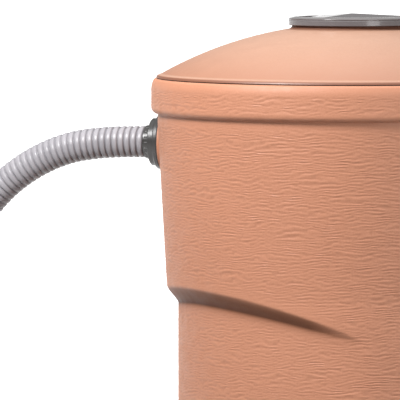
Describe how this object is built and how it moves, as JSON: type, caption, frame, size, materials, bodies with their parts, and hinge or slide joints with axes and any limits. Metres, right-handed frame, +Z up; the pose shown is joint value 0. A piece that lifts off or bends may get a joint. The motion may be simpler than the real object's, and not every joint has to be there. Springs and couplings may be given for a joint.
{
  "type": "rain barrel",
  "caption": "Upright rain barrel with a grained drum, a stepped shoulder, a domed lid with a round access cap, a side inlet with a ribbed fill hose, an overflow and a spigot.",
  "frame": {"origin": "centre of the flat base, on the ground", "axes": "+Z up along the drum's axis, -Y towards the front with the spigot, -X towards the side with the hose"},
  "size_m": [0.9476, 0.6635, 0.955],
  "materials": {
    "drum_plastic": "terracotta moulded polyethylene with a raised grain",
    "lid_plastic": "terracotta moulded polyethylene with a fine pebbled skin",
    "grey_plastic": "satin grey moulded plastic",
    "lever_plastic": "satin grey moulded plastic",
    "black_plastic": "black moulded plastic",
    "cuff_plastic": "satin black moulded plastic",
    "hose_plastic": "light grey corrugated polyethylene",
    "seal_rubber": "black rubber",
    "seat_plastic": "white low-friction plastic",
    "ball_brass": "turned brass",
    "screw_steel": "stainless steel",
    "mesh_steel": "woven stainless mesh"
  },
  "bodies": {
    "drum": {"barrel_shell": "drum_plastic", "inlet_port": "black_plastic", "inlet_gasket": "seal_rubber", "inlet_nut": "black_plastic", "fill_hose": "hose_plastic", "overflow_fitting": "black_plastic", "overflow_gasket": "seal_rubber", "overflow_nut": "black_plastic", "spigot_body": "black_plastic", "spigot_gasket": "seal_rubber", "spigot_nut": "black_plastic", "ball_seats": "seat_plastic", "stem_seal": "seal_rubber", "bonnet_nut": "black_plastic", "spigot_spout": "black_plastic"},
    "lid": {"dome_lid": "lid_plastic", "lid_seal": "seal_rubber", "lid_collar": "grey_plastic", "collar_screws": "screw_steel", "screen_basket": "black_plastic", "screen_mesh": "mesh_steel"},
    "cap": {"access_cap": "grey_plastic", "cap_seal": "seal_rubber"},
    "plugged_cuff": {"hose_cuff": "cuff_plastic", "cuff_seal": "seal_rubber"},
    "free_cuff": {"hose_end_cuff": "cuff_plastic", "end_cuff_seal": "seal_rubber"},
    "overflow_cap": {"overflow_cap": "black_plastic"},
    "drain": {"drain_plug": "black_plastic", "drain_seal": "seal_rubber"},
    "valve": {"valve_ball": "ball_brass", "valve_stem": "ball_brass", "spigot_lever": "lever_plastic", "lever_screw": "screw_steel"}
  },
  "joints": [
    {"name": "lid_lift", "type": "slide", "parent": "drum", "child": "lid", "axis": [0, 0, 1], "range_m": [0, 0.35]},
    {"name": "cap_lift", "type": "slide", "parent": "lid", "child": "cap", "axis": [0, 0, 1], "range_m": [0, 0.12]},
    {"name": "cuff_turn", "type": "hinge", "parent": "drum", "child": "plugged_cuff", "pos_m": [-0.28978, 0.07765, 0.758], "axis": [-0.9659, 0.2588, 0], "range_deg": [0, 70]},
    {"name": "free_cuff_turn", "type": "hinge", "parent": "drum", "child": "free_cuff", "pos_m": [-0.61912, 0.19695, 0.09], "axis": [0, 0, 1], "continuous": true},
    {"name": "overflow_cap_off", "type": "slide", "parent": "drum", "child": "overflow_cap", "axis": [0.766, 0.6428, 0], "range_m": [0, 0.035]},
    {"name": "drain_plug_out", "type": "slide", "parent": "drum", "child": "drain", "axis": [0, 1, 0], "range_m": [0, 0.035]},
    {"name": "lever_turn", "type": "hinge", "parent": "drum", "child": "valve", "pos_m": [0, -0.318, 0.15], "axis": [0, 0, -1], "range_deg": [0, 90]}
  ]
}
